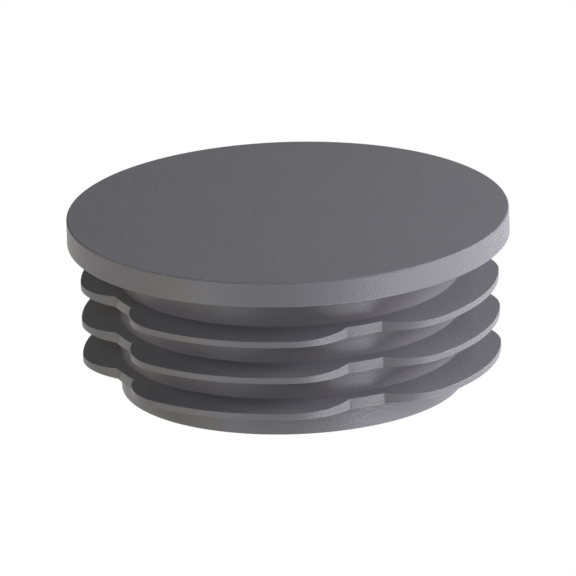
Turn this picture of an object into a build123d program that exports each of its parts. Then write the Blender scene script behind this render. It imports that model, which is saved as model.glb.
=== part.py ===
from build123d import *
from math import acos, asin, degrees, radians, tan
import os

# End cap for a round tube, moulded in one piece: a flat head that covers the tube's end,
# and a hollow plug whose lobed fins bend a little and grip the bore.
# Millimetres and degrees. +Z is the cap's axis, towards the outer face of the head.
# The origin is the centre of the seat, the plane where the head meets the end of the tube.

# --- The tube that the cap closes ---
tube_outer_diameter = 50.0
tube_wall = 1.5

# --- Head ---
head_thickness = 2.9
head_overhang = 0.0  # how far the head stands out past the tube's outer wall
face_edge_radius = 0.2
seat_edge_radius = 0.05  # the edge that lies on the end of the tube

# --- Plug ---
fin_reach = 4.3  # how far a fin stands out from the plug's wall
plug_wall = 2.0  # at the open rim
core_draft = 1.0  # slope of the hollow's wall, which widens towards the rim
core_corner_radius = 0.8
rim_edge_radius = 0.05

# --- Fins ---
fin_count = 3
fin_grip = 0.1  # how far a lobe is larger than the bore, on the radius
fin_tip_thickness = 0.73
fin_taper = 5.0  # slope of each face of a fin, which thickens towards the plug
fin_pitch = 4.28
first_fin_depth = 4.97  # from the seat to the middle of the first fin
rim_land = 3.55  # from the middle of the last fin to the open rim

# --- Outline of a fin ---
lobe_count = 4
lobe_end_radius = 7.2
notch_depth = 2.87
notch_floor_width = 4.3

# --- Worked out from the sizes above ---
tube_bore_radius = tube_outer_diameter / 2 - tube_wall
head_radius = tube_outer_diameter / 2 + head_overhang
fin_radius = tube_bore_radius + fin_grip
plug_radius = fin_radius - fin_reach
plug_depth = first_fin_depth + (fin_count - 1) * fin_pitch + rim_land
fin_depths = [first_fin_depth + index * fin_pitch for index in range(fin_count)]

# A fin's section runs in to the cap's axis. The hollow, which is cut last, opens it again.
fin_axis_thickness = fin_tip_thickness + 2 * fin_radius * tan(radians(fin_taper))

# A lobe is a slot bent round the axis. Its outer side is the tip, and its round ends run down
# to the floors of the notches. The slot's ends lie where they pass through the floor's corners.
notch_radius = fin_radius - notch_depth
lobe_end_centre_radius = fin_radius - lobe_end_radius
notch_floor_half_angle = degrees(asin(notch_floor_width / 2 / notch_radius))
lobe_end_angle = degrees(
    acos(
        (lobe_end_centre_radius**2 + notch_radius**2 - lobe_end_radius**2)
        / (2 * lobe_end_centre_radius * notch_radius)
    )
)
lobe_tip_half_angle = 180 / lobe_count - notch_floor_half_angle - lobe_end_angle

# The hollow is a cone with its narrow end at the seat.
core_rim_radius = plug_radius - plug_wall
core_seat_radius = core_rim_radius - plug_depth * tan(radians(core_draft))

# --- One fin, with its middle plane at the seat ---
with BuildPart() as fin:
    with BuildSketch(Plane.XZ) as fin_section:
        Polygon(
            (0, fin_axis_thickness / 2),
            (fin_radius, fin_tip_thickness / 2),
            (fin_radius, -fin_tip_thickness / 2),
            (0, -fin_axis_thickness / 2),
            align=None,
        )
    revolve(axis=Axis.Z)
    with BuildSketch(Plane.XY) as fin_outline:
        Circle(notch_radius)
        with BuildLine(mode=Mode.PRIVATE) as lobe_path:
            CenterArc((0, 0), lobe_end_centre_radius, -lobe_tip_half_angle, 2 * lobe_tip_half_angle)
        with PolarLocations(0, lobe_count):
            SlotArc(lobe_path.wire(), 2 * lobe_end_radius)
    extrude(amount=fin_axis_thickness, both=True, mode=Mode.INTERSECT)

# --- The cap ---
with BuildPart() as end_cap:
    # head, rounded round its outer face and nearly sharp at the seat
    with BuildSketch(Plane.XY) as head_outline:
        Circle(head_radius)
    extrude(amount=head_thickness)
    seat_edge, face_edge = end_cap.edges().filter_by(GeomType.CIRCLE).sort_by(Axis.Z)
    fillet(seat_edge, radius=seat_edge_radius)
    fillet(face_edge, radius=face_edge_radius)

    # plug, solid for now
    with BuildSketch(Plane.XY) as plug_outline:
        Circle(plug_radius)
    extrude(amount=-plug_depth)

    # fins, one pitch apart down the plug
    with Locations(*[(0, 0, -depth) for depth in fin_depths]):
        add(fin.part)

    # hollow, open at the rim and closed by the head
    with BuildSketch(Plane.XZ) as core_section:
        Polygon(
            (0, 0),
            (core_seat_radius, 0),
            (core_rim_radius, -plug_depth),
            (0, -plug_depth),
            align=None,
        )
        core_corner = core_section.vertices().group_by(Axis.Y)[-1].sort_by(Axis.X)[-1]
        fillet(core_corner, radius=core_corner_radius)
    revolve(axis=Axis.Z, mode=Mode.SUBTRACT)

    # rim, with both its edges broken
    rim_edges = end_cap.edges().filter_by(GeomType.CIRCLE).group_by(Axis.Z)[0]
    fillet(rim_edges, radius=rim_edge_radius)

end_cap.part.label = "end_cap"

os.makedirs("parts", exist_ok=True)
export_step(end_cap.part, "parts/end_cap.step")
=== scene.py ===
"""Looks of the ribbed end cap for a round tube: its moulded surface, its finishes, the lamps and the camera.

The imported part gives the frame: metres, +Z along the cap's axis towards the outer face of the head,
and the origin at the centre of the seat, where the head meets the end of the tube.
One closed surface stands for the CAD solid. It has the same sizes, a finer division and broken edges.
"""

import logging
from dataclasses import dataclass, field
from enum import Enum
from math import acos, asin, cos, pi, radians, sin, tan

import bpy
import numpy as np
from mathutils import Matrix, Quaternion, Vector


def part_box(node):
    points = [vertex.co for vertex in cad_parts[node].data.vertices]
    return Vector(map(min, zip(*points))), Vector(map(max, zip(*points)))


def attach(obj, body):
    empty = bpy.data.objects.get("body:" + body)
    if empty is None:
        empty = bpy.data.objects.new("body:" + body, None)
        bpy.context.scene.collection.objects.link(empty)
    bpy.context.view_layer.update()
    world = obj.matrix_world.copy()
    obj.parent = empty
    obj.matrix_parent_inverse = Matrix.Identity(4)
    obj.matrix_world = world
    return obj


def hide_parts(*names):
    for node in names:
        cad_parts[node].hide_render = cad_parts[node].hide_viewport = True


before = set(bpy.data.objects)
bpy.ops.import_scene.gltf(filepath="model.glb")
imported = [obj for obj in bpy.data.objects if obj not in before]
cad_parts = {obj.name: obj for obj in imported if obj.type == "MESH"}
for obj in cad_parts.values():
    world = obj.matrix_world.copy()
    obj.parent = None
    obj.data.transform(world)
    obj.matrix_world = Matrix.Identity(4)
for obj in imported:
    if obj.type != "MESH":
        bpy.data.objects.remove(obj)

MM = 0.001
CREASE = 35  # least angle of an edge that is shaded sharp, in degrees
UP, OUT, DOWN, IN = 0, 90, 180, 270  # tilts of a surface's normal from +Z, in degrees
GREY = (0.118, 0.118, 0.124)  # the plastic's colour, linear red, green and blue
CAD_NODE = "end_cap"
BODY = "root"

log = logging.getLogger("end_cap")


class Finish(Enum):
    """The finishes that the mould leaves, by their place in the cap's material slots."""

    GRAINED = 0
    FINE = 1
    SATIN = 2


def link(thing: bpy.types.Object) -> bpy.types.Object:
    """Puts an object into the scene and returns it."""
    bpy.context.scene.collection.objects.link(thing)
    return thing


def direction(azimuth: float, elevation: float) -> Vector:
    """Works out the direction from the cap to a camera or a lamp.

    Args:
        azimuth: angle round the axis, from -Y towards +X, in degrees.
        elevation: angle above the horizon, in degrees.

    Returns:
        The direction, of unit length.
    """
    turn, rise = radians(azimuth), radians(elevation)
    return Vector((sin(turn) * cos(rise), -cos(turn) * cos(rise), sin(rise)))


# ---------------------------------------------------------------- shapes


@dataclass(frozen=True)
class FinOutline:
    """Outline of a fin, seen along the axis: round-ended lobes with a flat-floored notch between each two.

    Args:
        tip_radius: distance from the axis to the tip of a lobe.
        lobe_count: number of lobes, the first one centred on +X.
        lobe_end_radius: radius of a lobe's round ends.
        notch_depth: how far a notch's floor lies inside the tips.
        notch_floor_width: width of a notch's floor.
        tip_steps: grid columns over the tip of one lobe.
        end_steps: grid columns over one round end.
        floor_steps: grid columns over half of a notch's floor.
    """

    tip_radius: float = 23.6 * MM
    lobe_count: int = 4
    lobe_end_radius: float = 7.2 * MM
    notch_depth: float = 2.87 * MM
    notch_floor_width: float = 4.3 * MM
    tip_steps: int = 42
    end_steps: int = 18
    floor_steps: int = 6

    @property
    def notch_radius(self) -> float:
        """Distance from the axis to a notch's floor."""
        return self.tip_radius - self.notch_depth

    @property
    def end_centre_radius(self) -> float:
        """Distance from the axis to the centre of a lobe's round end."""
        return self.tip_radius - self.lobe_end_radius

    @property
    def corner_angle(self) -> float:
        """Angle from the middle of a lobe to the corner where its round end meets the notch's floor."""
        return pi / self.lobe_count - asin(self.notch_floor_width / 2 / self.notch_radius)

    @property
    def tip_angle(self) -> float:
        """Angle from the middle of a lobe to the point where its tip passes into a round end."""
        inner, outer, end = self.end_centre_radius, self.notch_radius, self.lobe_end_radius
        return self.corner_angle - acos((inner**2 + outer**2 - end**2) / (2 * inner * outer))

    def columns(self) -> np.ndarray:
        """Works out the angles of the grid's columns.

        Each stretch of the outline is divided evenly, so that every corner falls on a column.

        Returns:
            Angles round the axis in radians, in rising order. The first is the middle of the notch before
            the first lobe.
        """
        half = pi / self.lobe_count
        knots = (-half, -self.corner_angle, -self.tip_angle, self.tip_angle, self.corner_angle, half)
        steps = (self.floor_steps, self.end_steps, self.tip_steps, self.end_steps, self.floor_steps)
        stretches = zip(knots, knots[1:], steps)
        lobe = np.concatenate(
            [np.linspace(low, high, count, endpoint=False) for low, high, count in stretches]
        )
        starts = 2 * half * np.arange(self.lobe_count)
        return (starts[:, None] + lobe[None, :]).ravel()

    def reach(self, angles: np.ndarray) -> np.ndarray:
        """Works out how far the outline stands from the axis.

        With t the angle from the middle of the nearest lobe, the reach is the tip's radius up to the tip
        angle a. From there to the corner it follows the end's circle of radius e, whose centre lies c from
        the axis: c cos(t - a) + sqrt(e^2 - c^2 sin^2(t - a)). Beyond the corner it is the notch's floor.

        Args:
            angles: angles round the axis, in radians.

        Returns:
            One distance for each angle.
        """
        pitch = 2 * pi / self.lobe_count
        turn = np.abs((angles + pitch / 2) % pitch - pitch / 2)
        past_tip = turn - self.tip_angle
        across = self.end_centre_radius * np.sin(past_tip)
        end = self.end_centre_radius * np.cos(past_tip) + np.sqrt(
            np.maximum(self.lobe_end_radius**2 - across**2, 0)
        )
        return np.select(
            [turn <= self.tip_angle, turn < self.corner_angle], [self.tip_radius, end], self.notch_radius
        )


@dataclass
class RingSkin:
    """Closed surface made of rings round the axis, from a pole at one end to a pole at the other.

    A ring holds one distance from the axis and one height for each column, so a point is
    (distance cos angle, distance sin angle, height). Rings are added in order from the upper pole:
    outwards, down the outside, and up the inside to the lower pole.

    Args:
        angles: angles of the columns, in rising order.
        radii: distances from the axis, one row for each ring.
        heights: heights, one row for each ring.
    """

    angles: np.ndarray
    radii: list[np.ndarray] = field(default_factory=list)
    heights: list[np.ndarray] = field(default_factory=list)

    def bend(
        self,
        radius: float | np.ndarray,
        height: float | np.ndarray,
        size: float,
        start: float,
        end: float,
        steps: int = 4,
    ) -> None:
        """Adds the rings of a rounded edge.

        The ring at tilt p lies at the edge's centre plus size times (sin p, cos p), where p is the tilt of
        the surface's normal from +Z. A negative size makes an inside corner, seen from its hollow side.

        Args:
            radius: distance from the axis to the edge's centre.
            height: height of the edge's centre.
            size: radius of the edge.
            start: tilt at the first ring, in degrees.
            end: tilt at the last ring, in degrees.
            steps: number of divisions.
        """
        for tilt in np.radians(np.linspace(start, end, steps + 1)):
            self.ring(radius + size * np.sin(tilt), height + size * np.cos(tilt))

    def ring(self, radius: float | np.ndarray, height: float | np.ndarray) -> None:
        """Adds one ring.

        Args:
            radius: distance from the axis, one value or one for each column.
            height: height, one value or one for each column.
        """
        self.radii.append(np.broadcast_to(radius, self.angles.shape))
        self.heights.append(np.broadcast_to(height, self.angles.shape))

    def mesh(self, name: str, upper_pole: float, lower_pole: float) -> bpy.types.Mesh:
        """Makes the mesh: a quad between each two neighbouring rings and columns, and a fan at each pole.

        It is shaded smooth up to the crease, with normals of its own.

        Args:
            name: name of the mesh.
            upper_pole: height of the pole before the first ring.
            lower_pole: height of the pole after the last ring.

        Returns:
            The mesh, with its faces pointing outwards.
        """
        radii, heights = np.array(self.radii), np.array(self.heights)
        grid = np.stack([radii * np.cos(self.angles), radii * np.sin(self.angles), heights], axis=-1)
        poles = np.array([[0, 0, upper_pole], [0, 0, lower_pole]])
        rows, columns = radii.shape
        number = np.arange(rows * columns).reshape(rows, columns)
        beside = np.roll(number, -1, axis=1)
        quads = np.stack([number[:-1], number[1:], beside[1:], beside[:-1]], axis=-1).reshape(-1, 4)
        upper, lower = rows * columns, rows * columns + 1
        upper_fan = np.stack([np.full(columns, upper), number[0], beside[0]], axis=-1)
        lower_fan = np.stack([number[-1], np.full(columns, lower), beside[-1]], axis=-1)
        mesh = bpy.data.meshes.new(name)
        mesh.from_pydata(
            np.concatenate([grid.reshape(-1, 3), poles]).tolist(),
            [],
            [*quads.tolist(), *upper_fan.tolist(), *lower_fan.tolist()],
        )
        mesh.shade_smooth()
        mesh.set_sharp_from_angle(angle=radians(CREASE))
        mesh.normals_split_custom_set(self.corner_normals(grid, poles).tolist())
        return mesh

    @staticmethod
    def corner_normals(grid: np.ndarray, poles: np.ndarray) -> np.ndarray:
        """Works out the shading normal at each corner of each face, in the order of the mesh's faces.

        It is the sum of the area normals of the four faces that meet at the corner, less those that turn from
        the corner's own face by more than the crease. Large flat faces so stay flat, and the small rounded
        edges between them run into them. A face's area normal is half the cross product of its diagonals.
        At a pole the normal is the face's own.

        Args:
            grid: the rings' points, by ring and column.
            poles: the two poles.

        Returns:
            The unit normals, one row for each corner.
        """
        ends = np.broadcast_to(poles[:, None, None], (2, 1, *grid.shape[1:]))
        points = np.concatenate([ends[0], grid, ends[1]])
        turned = np.roll(points, -1, axis=1)
        area = np.cross(turned[1:] - points[:-1], turned[:-1] - points[1:]) / 2
        own = area / np.linalg.norm(area, axis=-1, keepdims=True)

        corners = ((0, 0), (1, 0), (1, 1), (0, 1))
        quads = np.stack([RingSkin.corner(area, own, row, column) for row, column in corners], axis=2)
        upper_fan = np.stack([own[0], quads[0, :, 1], quads[0, :, 2]], axis=1)
        lower_fan = np.stack([quads[-1, :, 0], own[-1], quads[-1, :, 3]], axis=1)
        return np.concatenate([part.reshape(-1, 3) for part in (quads[1:-1], upper_fan, lower_fan)])

    @staticmethod
    def corner(area: np.ndarray, own: np.ndarray, row: int, column: int) -> np.ndarray:
        """Works out the shading normals at one of the corners of every face.

        Args:
            area: the faces' area normals, by band between rings and by column.
            own: the same normals at unit length.
            row: 0 for the corner on a face's upper ring, 1 for the one on its lower ring.
            column: 0 for the corner on a face's own column, 1 for the one on the next column.

        Returns:
            The unit normals, by band and column.
        """
        total = np.zeros_like(area)
        for band in (row - 1, row):
            for side in (column - 1, column):
                near = np.roll(area, (-band, -side), axis=(0, 1))
                facing = np.roll(own, (-band, -side), axis=(0, 1))
                smooth = (own * facing).sum(axis=-1, keepdims=True) > cos(radians(CREASE))
                total += np.where(smooth, near, 0)
        return total / np.linalg.norm(total, axis=-1, keepdims=True)


# ---------------------------------------------------------------- finishes


class Nodes:
    """Adds and joins the nodes of one node tree."""

    def __init__(self, tree: bpy.types.NodeTree) -> None:
        """Takes over a node tree and empties it."""
        tree.nodes.clear()
        self.tree = tree

    def fill(self, socket: bpy.types.NodeSocket, value: object) -> None:
        """Gives an input its value, or joins it to the output that feeds it.

        Args:
            socket: the input.
            value: value or output socket.
        """
        if isinstance(value, bpy.types.NodeSocket):
            self.tree.links.new(value, socket)
        else:
            socket.default_value = value

    def add(self, kind: str, **inputs: object) -> bpy.types.Node:
        """Adds a node and fills its inputs.

        Args:
            kind: the node's type name, as Blender writes it.
            inputs: value or output socket for each input, by its name with _ for a space.

        Returns:
            The new node.
        """
        node = self.tree.nodes.new(kind)
        for name, value in inputs.items():
            self.fill(node.inputs[name.replace("_", " ")], value)
        return node

    def maths(self, operation: str, *values: float | bpy.types.NodeSocket) -> bpy.types.NodeSocket:
        """Adds a Math node.

        Args:
            operation: the node's operation.
            values: its inputs, in order.

        Returns:
            Its output.
        """
        node = self.tree.nodes.new("ShaderNodeMath")
        node.operation = operation
        for socket, value in zip(node.inputs, values):
            self.fill(socket, value)
        return node.outputs[0]


class MouldGrain:
    """The surface that a spark-eroded mould leaves on plastic, as a node group that all finishes use."""

    NAME = "mould_grain"
    SWELL_SCALE = 0.22  # scale of the broad swell, against the grain's
    DRIFT_SCALE = 0.03  # scale of the slow drift of tone, against the grain's
    NOISE_MEAN = 0.5

    @classmethod
    def group(cls) -> bpy.types.NodeTree:
        """Returns the node group, and builds it the first time."""
        return bpy.data.node_groups.get(cls.NAME) or cls().build()

    def build(self) -> bpy.types.NodeTree:
        """Builds the group.

        The height is fine noise at the grain's size, plus a broad swell several grains long. The shade is
        a slow drift of tone in the melt, around 1, and painted shade that makes the pits a little darker than
        the peaks.

        Returns:
            The node group.
        """
        tree = bpy.data.node_groups.new(self.NAME, "ShaderNodeTree")
        sockets = tree.interface
        sockets.new_socket("Vector", in_out="INPUT", socket_type="NodeSocketVector")
        for name in ("Grains Per Metre", "Swell", "Drift", "Pit Shade", "Roughness", "Roughness Spread"):
            sockets.new_socket(name, in_out="INPUT", socket_type="NodeSocketFloat")
        for name in ("Height", "Shade", "Roughness"):
            sockets.new_socket(name, in_out="OUTPUT", socket_type="NodeSocketFloat")

        nodes = Nodes(tree)
        given = nodes.add("NodeGroupInput").outputs
        fine = nodes.add(
            "ShaderNodeTexNoise",
            Vector=given["Vector"],
            Scale=given["Grains Per Metre"],
            Detail=0.5,
            Roughness=0.5,
        ).outputs[0]
        broad = nodes.add(
            "ShaderNodeTexNoise",
            Vector=given["Vector"],
            Scale=nodes.maths("MULTIPLY", given["Grains Per Metre"], self.SWELL_SCALE),
            Detail=1.0,
        ).outputs[0]
        slow = nodes.add(
            "ShaderNodeTexNoise",
            Vector=given["Vector"],
            Scale=nodes.maths("MULTIPLY", given["Grains Per Metre"], self.DRIFT_SCALE),
            Detail=2.0,
        ).outputs[0]
        height = nodes.maths("MULTIPLY_ADD", broad, given["Swell"], fine)
        peak = nodes.maths("SUBTRACT", fine, self.NOISE_MEAN)
        # painted shade: the grain's low spots are darkened in the colour
        pit = nodes.maths("MULTIPLY", peak, given["Pit Shade"])
        wander = nodes.maths("SUBTRACT", slow, self.NOISE_MEAN)
        drift = nodes.maths("MULTIPLY", wander, given["Drift"])
        shade = nodes.maths("ADD", nodes.maths("ADD", pit, drift), 1.0)
        rise = nodes.maths("SUBTRACT", broad, self.NOISE_MEAN)
        spread = nodes.maths("MULTIPLY", rise, given["Roughness Spread"])
        nodes.add(
            "NodeGroupOutput",
            Height=height,
            Shade=shade,
            Roughness=nodes.maths("ADD", given["Roughness"], spread),
        )
        return tree


@dataclass(frozen=True)
class MouldedPlastic:
    """One finish of the moulded plastic.

    Args:
        name: name of the material.
        colour: base colour, linear red, green and blue.
        roughness: mean roughness.
        roughness_spread: how far the roughness varies from spot to spot.
        specular: specular level.
        skin: weight of the smooth skin that the plastic sets with.
        skin_roughness: roughness of the skin.
        grain_size: mean size of a grain.
        grain_depth: height of the grain.
        swell: height of the broad swell, against the grain's.
        drift: how far the tone drifts.
        pit_shade: how much darker the pits are than the peaks, painted shade in the grain's pits.
    """

    name: str
    colour: tuple[float, float, float]
    roughness: float
    roughness_spread: float
    specular: float
    skin: float
    skin_roughness: float
    grain_size: float
    grain_depth: float
    swell: float
    drift: float
    pit_shade: float

    def material(self) -> bpy.types.Material:
        """Builds the material.

        Returns:
            The material, which takes its grain from the object's own coordinates.
        """
        material = bpy.data.materials.new(self.name)
        material.use_nodes = True
        nodes = Nodes(material.node_tree)
        place = nodes.add("ShaderNodeTexCoord").outputs["Object"]
        grain = nodes.tree.nodes.new("ShaderNodeGroup")
        grain.node_tree = MouldGrain.group()
        nodes.tree.links.new(place, grain.inputs["Vector"])
        for name, value in {
            "Grains Per Metre": 1 / self.grain_size,
            "Swell": self.swell,
            "Drift": self.drift,
            "Pit Shade": self.pit_shade,
            "Roughness": self.roughness,
            "Roughness Spread": self.roughness_spread,
        }.items():
            grain.inputs[name].default_value = value
        # the colour carries the tone's drift and the painted shade in the grain's pits
        tone = nodes.add("ShaderNodeHueSaturation", Value=grain.outputs["Shade"], Color=(*self.colour, 1))
        bump = nodes.add("ShaderNodeBump", Distance=self.grain_depth, Height=grain.outputs["Height"])
        shader = nodes.add(
            "ShaderNodeBsdfPrincipled",
            Base_Color=tone.outputs["Color"],
            Roughness=grain.outputs["Roughness"],
            Normal=bump.outputs["Normal"],
            Specular_IOR_Level=self.specular,
            Coat_Weight=self.skin,
            Coat_Roughness=self.skin_roughness,
            Coat_Normal=bump.outputs["Normal"],
        )
        nodes.add("ShaderNodeOutputMaterial", Surface=shader.outputs["BSDF"])
        return material


# ---------------------------------------------------------------- the cap


@dataclass
class EndCap:
    """The moulded cap: a flat head, and a hollow plug with lobed, tapered fins.

    Args:
        head_radius: radius of the head.
        head_thickness: height of the head's outer face above the seat.
        face_edge: radius of the edge round the head's outer face.
        seat_edge: radius of the head's edge at the seat.
        plug_radius: radius of the plug between the fins.
        plug_depth: depth of the open rim below the seat.
        rim_edge: radius of the rim's broken edges.
        core_rim_radius: radius of the hollow at the open rim.
        core_draft: slope of the hollow's wall, in degrees.
        core_corner: radius in the corner at the hollow's end.
        fin_depths: depth of each fin's middle below the seat.
        fin_tip_thickness: thickness of a fin at the tip of a lobe.
        fin_taper: slope of each face of a fin, in degrees.
        fin_edge: radius of a fin's broken edges.
        fin_edge_steps: divisions of each of a fin's broken edges.
        core_corner_steps: divisions of the corner at the hollow's end.
        outline: outline of a fin.
        outside: finish of the head's side, the plug and the fins.
        face: finish of the head's outer face and its edge.
        inside: finish of the hollow.
    """

    head_radius: float
    head_thickness: float
    plug_depth: float
    face_edge: float = 0.2 * MM
    seat_edge: float = 0.05 * MM
    plug_radius: float = 19.3 * MM
    rim_edge: float = 0.05 * MM
    core_rim_radius: float = 17.3 * MM
    core_draft: float = 1.0
    core_corner: float = 0.8 * MM
    fin_depths: tuple[float, ...] = (4.97 * MM, 9.25 * MM, 13.53 * MM)
    fin_tip_thickness: float = 0.73 * MM
    fin_taper: float = 5.0
    fin_edge: float = 0.05 * MM
    fin_edge_steps: int = 3
    core_corner_steps: int = 8
    outline: FinOutline = FinOutline()
    outside: MouldedPlastic = MouldedPlastic(
        name="grained_grey_plastic",
        colour=GREY,
        roughness=0.5,
        roughness_spread=0.1,
        specular=0.3,
        skin=0.2,
        skin_roughness=0.25,
        grain_size=0.24 * MM,
        grain_depth=0.036 * MM,
        swell=0.2,
        drift=0.06,
        pit_shade=0.06,
    )
    face: MouldedPlastic = MouldedPlastic(
        name="fine_grey_plastic",
        colour=GREY,
        roughness=0.65,
        roughness_spread=0.1,
        specular=0.3,
        skin=0.0,
        skin_roughness=0.25,
        grain_size=0.2 * MM,
        grain_depth=0.019 * MM,
        swell=0.5,
        drift=0.06,
        pit_shade=0.15,
    )
    inside: MouldedPlastic = MouldedPlastic(
        name="satin_grey_plastic",
        colour=GREY,
        roughness=0.42,
        roughness_spread=0.06,
        specular=0.3,
        skin=0.2,
        skin_roughness=0.25,
        grain_size=0.6 * MM,
        grain_depth=0.006 * MM,
        swell=1.0,
        drift=0.08,
        pit_shade=0.03,
    )

    @classmethod
    def from_frame(cls) -> "EndCap":
        """Makes the cap with its overall sizes taken from the CAD node's box."""
        low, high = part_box(CAD_NODE)
        return cls(head_radius=min(-low.x, -low.y, high.x, high.y), head_thickness=high.z, plug_depth=-low.z)

    def core_radius(self, height: float) -> float:
        """Returns the radius of the hollow at a height: the rim's, less the draft over the way up."""
        return self.core_rim_radius - (height + self.plug_depth) * tan(radians(self.core_draft))

    def fin_half_thickness(self, radius: np.ndarray) -> np.ndarray:
        """Returns half of a fin's thickness at a distance from the axis: half the tip's, plus the taper."""
        return self.fin_tip_thickness / 2 + (self.outline.tip_radius - radius) * tan(radians(self.fin_taper))

    def add_head(self, skin: RingSkin) -> int:
        """Adds the head, from its outer face round both edges to the seat.

        Args:
            skin: surface to add to.

        Returns:
            The number of rings on the edge round the outer face.
        """
        edge_height = self.head_thickness - self.face_edge
        skin.bend(self.head_radius - self.face_edge, edge_height, self.face_edge, UP, OUT)
        edge_rings = len(skin.radii)
        skin.bend(self.head_radius - self.seat_edge, self.seat_edge, self.seat_edge, OUT, DOWN)
        return edge_rings

    def add_fin(self, skin: RingSkin, depth: float) -> None:
        """Adds a fin and the corners where it meets the plug.

        Args:
            skin: surface to add to.
            depth: depth of the fin's middle below the seat.
        """
        root = self.fin_half_thickness(self.plug_radius)
        centre_radius = self.outline.reach(skin.angles) - self.fin_edge
        lift = self.fin_half_thickness(centre_radius) - self.fin_edge / cos(radians(self.fin_taper))
        skin.ring(self.plug_radius, root - depth)
        skin.bend(centre_radius, lift - depth, self.fin_edge, self.fin_taper, OUT, self.fin_edge_steps)
        under_tilt = DOWN - self.fin_taper
        skin.bend(centre_radius, -lift - depth, self.fin_edge, OUT, under_tilt, self.fin_edge_steps)
        skin.ring(self.plug_radius, -root - depth)

    def add_hollow(self, skin: RingSkin) -> None:
        """Adds the rim's inner edge, the drafted wall and the corner at the hollow's end.

        Args:
            skin: surface to add to.
        """
        lean = radians(self.core_draft)
        edge_height = self.rim_edge - self.plug_depth
        wall_tilt = IN - self.core_draft
        edge_radius = self.core_radius(edge_height) + self.rim_edge / cos(lean)
        skin.bend(edge_radius, edge_height, self.rim_edge, DOWN, wall_tilt)
        corner_radius = self.core_radius(-self.core_corner) - self.core_corner / cos(lean)
        corner = self.core_corner
        skin.bend(corner_radius, -corner, -corner, wall_tilt, DOWN, self.core_corner_steps)

    def build(self) -> bpy.types.Object:
        """Builds the cap's surface, dresses it and puts it in the CAD node's place.

        Returns:
            The finished piece.
        """
        skin = RingSkin(self.outline.columns())
        edge_rings = self.add_head(skin)
        skin.ring(self.plug_radius, 0.0)
        for depth in self.fin_depths:
            self.add_fin(skin, depth)
        rim_height = self.rim_edge - self.plug_depth
        skin.bend(self.plug_radius - self.rim_edge, rim_height, self.rim_edge, OUT, DOWN)
        outside_rings = len(skin.radii)
        self.add_hollow(skin)
        mesh = skin.mesh("end_cap_skin", self.head_thickness, 0.0)
        self.dress(mesh, (edge_rings, outside_rings, len(skin.radii)), len(skin.angles))
        piece = link(bpy.data.objects.new("end_cap_skin", mesh))
        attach(piece, BODY)
        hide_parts(CAD_NODE)
        return piece

    def dress(self, mesh: bpy.types.Mesh, rings: tuple[int, int, int], columns: int) -> None:
        """Gives each face of the surface its finish.

        Args:
            mesh: the cap's mesh: its quads ring by ring, the fan on the head and the fan in the hollow.
            rings: number of rings from the first to the end of the face's edge, to the end of the outside,
                and in all.
            columns: number of columns.
        """
        for finish in (self.outside, self.face, self.inside):
            mesh.materials.append(finish.material())
        edge_rings, outside_rings, all_rings = rings
        bands = np.full(all_rings - 1, Finish.GRAINED.value)
        bands[: edge_rings - 1] = Finish.FINE.value
        bands[outside_rings:] = Finish.SATIN.value
        finish = np.repeat(np.concatenate([bands, [Finish.FINE.value, Finish.SATIN.value]]), columns)
        mesh.polygons.foreach_set("material_index", finish.astype(np.int32))


# ---------------------------------------------------------------- studio


@dataclass(frozen=True)
class StudioFloor:
    """A plain pale floor some way below the cap, which is white to the camera.

    Args:
        drop: depth of the floor below the cap's seat.
        half_width: half of the floor's width.
        colour: colour of the floor in the light that it gives back.
    """

    drop: float = 0.6
    half_width: float = 8.0
    colour: tuple[float, float, float] = (0.6, 0.6, 0.6)

    def build(self) -> bpy.types.Object:
        """Builds the floor.

        Returns:
            The floor, which is staging and no part of the cap.
        """
        corners = self.half_width * np.array([[-1, -1], [1, -1], [1, 1], [-1, 1]])
        mesh = bpy.data.meshes.new("studio_floor")
        mesh.from_pydata(np.column_stack([corners, np.full(4, -self.drop)]).tolist(), [], [(0, 1, 2, 3)])
        mesh.materials.append(self.material())
        floor = link(bpy.data.objects.new("studio_floor", mesh))
        return floor

    def material(self) -> bpy.types.Material:
        """Builds the floor's material: a pale matt paint that is white where it is seen or mirrored.

        Returns:
            The material.
        """
        material = bpy.data.materials.new("pale_floor")
        material.use_nodes = True
        nodes = Nodes(material.node_tree)
        ray = nodes.add("ShaderNodeLightPath").outputs
        seen = nodes.maths("MAXIMUM", ray["Is Camera Ray"], ray["Is Glossy Ray"])
        paint = nodes.add("ShaderNodeBsdfDiffuse", Color=(*self.colour, 1))
        white = nodes.add("ShaderNodeEmission", Color=(1, 1, 1, 1), Strength=1.0)
        both = nodes.tree.nodes.new("ShaderNodeMixShader")
        nodes.tree.links.new(nodes.maths("MAXIMUM", seen, ray["Is Transmission Ray"]), both.inputs[0])
        nodes.tree.links.new(paint.outputs[0], both.inputs[1])
        nodes.tree.links.new(white.outputs[0], both.inputs[2])
        nodes.add("ShaderNodeOutputMaterial", Surface=both.outputs[0])
        return material


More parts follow.
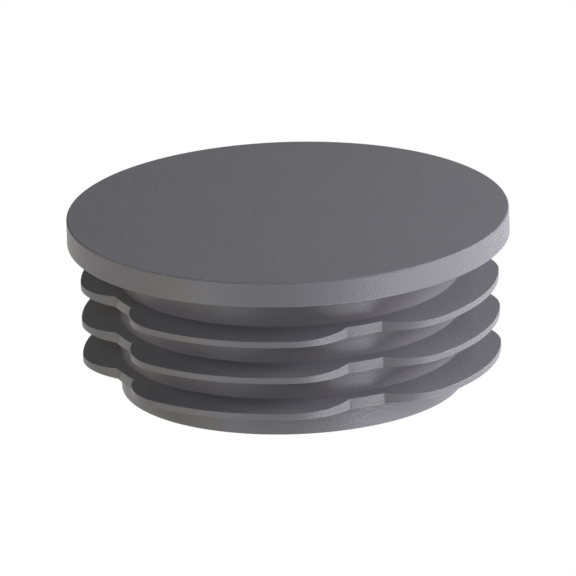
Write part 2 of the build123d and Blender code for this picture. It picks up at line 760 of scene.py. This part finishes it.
@dataclass(frozen=True)
class ProductCamera:
    """The camera, with no perspective, aimed so that the cap stands where it should in the frame.

    Its angles, width and offsets were worked out by a least-squares fit of the cap's visible edges.

    Args:
        azimuth: direction of the camera round the axis, from -Y towards +X, in degrees.
        elevation: height of the camera above the horizon, in degrees.
        roll: how far the picture is turned anticlockwise, in degrees.
        view_width: width of what the camera sees.
        seat_right: how far right of the picture's middle the seat's centre appears.
        seat_above: how far above the picture's middle the seat's centre appears.
        distance: distance from the camera to the cap.
        near: nearest distance that the camera shows.
        far: farthest distance that the camera shows.
    """

    azimuth: float = 21.35
    elevation: float = 18.6245
    roll: float = 1.8957
    view_width: float = 64.987 * MM
    seat_right: float = 0.044 * MM
    seat_above: float = 5.812 * MM
    distance: float = 0.4
    near: float = 0.01
    far: float = 20.0

    def build(self) -> bpy.types.Object:
        """Builds the camera and makes it the scene's own.

        Returns:
            The camera.
        """
        back = direction(self.azimuth, self.elevation)
        stance = (-back).to_track_quat("-Z", "Y") @ Quaternion((0, 0, 1), -radians(self.roll))
        right, above = stance @ Vector((1, 0, 0)), stance @ Vector((0, 1, 0))
        camera = link(bpy.data.objects.new("product_camera", bpy.data.cameras.new("product_camera")))
        camera.data.type = "ORTHO"
        camera.data.ortho_scale = self.view_width
        camera.data.clip_start, camera.data.clip_end = self.near, self.far
        camera.rotation_mode = "QUATERNION"
        camera.rotation_quaternion = stance
        camera.location = back * self.distance - right * self.seat_right - above * self.seat_above
        bpy.context.scene.camera = camera
        return camera


@dataclass(frozen=True)
class SoftBox:
    """A square lamp with an even face, aimed at the cap.

    Args:
        name: name of the lamp.
        azimuth: direction of the lamp round the axis, from -Y towards +X, in degrees.
        elevation: height of the lamp above the horizon, in degrees.
        distance: distance from the lamp to the cap.
        width: width of its face.
        power: power in watts.
        colour: linear red, green and blue.
    """

    name: str
    azimuth: float
    elevation: float
    distance: float
    width: float
    power: float
    colour: tuple[float, float, float] = (1.0, 1.0, 1.0)

    def build(self) -> bpy.types.Object:
        """Builds the lamp.

        Returns:
            The lamp.
        """
        back = direction(self.azimuth, self.elevation)
        lamp = link(bpy.data.objects.new(self.name, bpy.data.lights.new(self.name, "AREA")))
        lamp.data.shape = "SQUARE"
        lamp.data.size = self.width
        lamp.data.energy = self.power
        lamp.data.color = self.colour
        lamp.rotation_mode = "QUATERNION"
        lamp.rotation_quaternion = (-back).to_track_quat("-Z", "Y")
        lamp.location = back * self.distance
        return lamp


@dataclass(frozen=True)
class Studio:
    """Floor, camera, lamps and the even light of the room.

    The lamps' powers and colours were not chosen by hand. A least-squares fit worked them out, and it also
    picked these lamps from a larger number that were tried.

    Args:
        floor: the floor.
        camera: the camera.
        lamps: the lamps.
        room_colour: colour of the room's own light.
        room_strength: strength of the room's own light.
    """

    floor: StudioFloor = StudioFloor()
    camera: ProductCamera = ProductCamera()
    # each lamp: name, azimuth, elevation, distance, width, power and colour
    lamps: tuple[SoftBox, ...] = (
        SoftBox("key_right", 101, 15, 0.25, 0.12, 0.6415, (0.944, 0.892, 1.0)),
        SoftBox("key_close", 121, 25, 0.16, 0.1, 0.2057, (1.0, 0.976, 0.956)),
        SoftBox("rim_right", 131, 15, 0.6, 0.3, 1.371, (0.888, 1.0, 0.977)),
        SoftBox("rim_high", 146, 28, 0.6, 0.3, 0.9502, (0.735, 0.665, 1.0)),
        SoftBox("left_high", -59, 32, 0.5, 0.12, 0.535, (1.0, 0.925, 0.735)),
        SoftBox("left_level", -19, 12, 0.5, 0.12, 0.775, (1.0, 0.914, 0.866)),
        SoftBox("front", 1, 28, 0.6, 0.25, 0.8301, (0.657, 0.759, 1.0)),
        SoftBox("front_low", -17, -19, 0.6, 0.2, 0.4063, (0.649, 0.827, 1.0)),
        SoftBox("right_low", 78, -38, 0.5, 0.25, 2.144, (0.969, 0.945, 1.0)),
        SoftBox("below", 121, -72, 0.5, 0.3, 2.592),
        SoftBox("left_low", -39, -25, 0.5, 0.25, 0.2676, (1.0, 0.689, 0.185)),
    )
    room_colour: tuple[float, float, float] = (1.0, 1.0, 1.0)
    room_strength: float = 0.12

    def build(self) -> None:
        """Builds the floor, the camera, the lamps and the world."""
        self.floor.build()
        self.camera.build()
        for lamp in self.lamps:
            lamp.build()
        world = bpy.data.worlds.new("studio_room")
        world.use_nodes = True
        nodes = Nodes(world.node_tree)
        light = nodes.add("ShaderNodeBackground", Color=(*self.room_colour, 1), Strength=self.room_strength)
        nodes.add("ShaderNodeOutputWorld", Surface=light.outputs[0])
        bpy.context.scene.world = world
        bpy.context.scene.view_settings.view_transform = "Standard"


def main() -> None:
    """Builds the cap and the studio."""
    logging.basicConfig(level=logging.INFO, format="%(name)s: %(message)s")
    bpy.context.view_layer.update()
    piece = EndCap.from_frame().build()
    log.info("%s: %d faces, in place of %s", piece.name, len(piece.data.polygons), CAD_NODE)
    Studio().build()
    log.info("studio: floor, camera and lamps")
    bpy.context.view_layer.update()


if __name__ == "__main__":
    main()
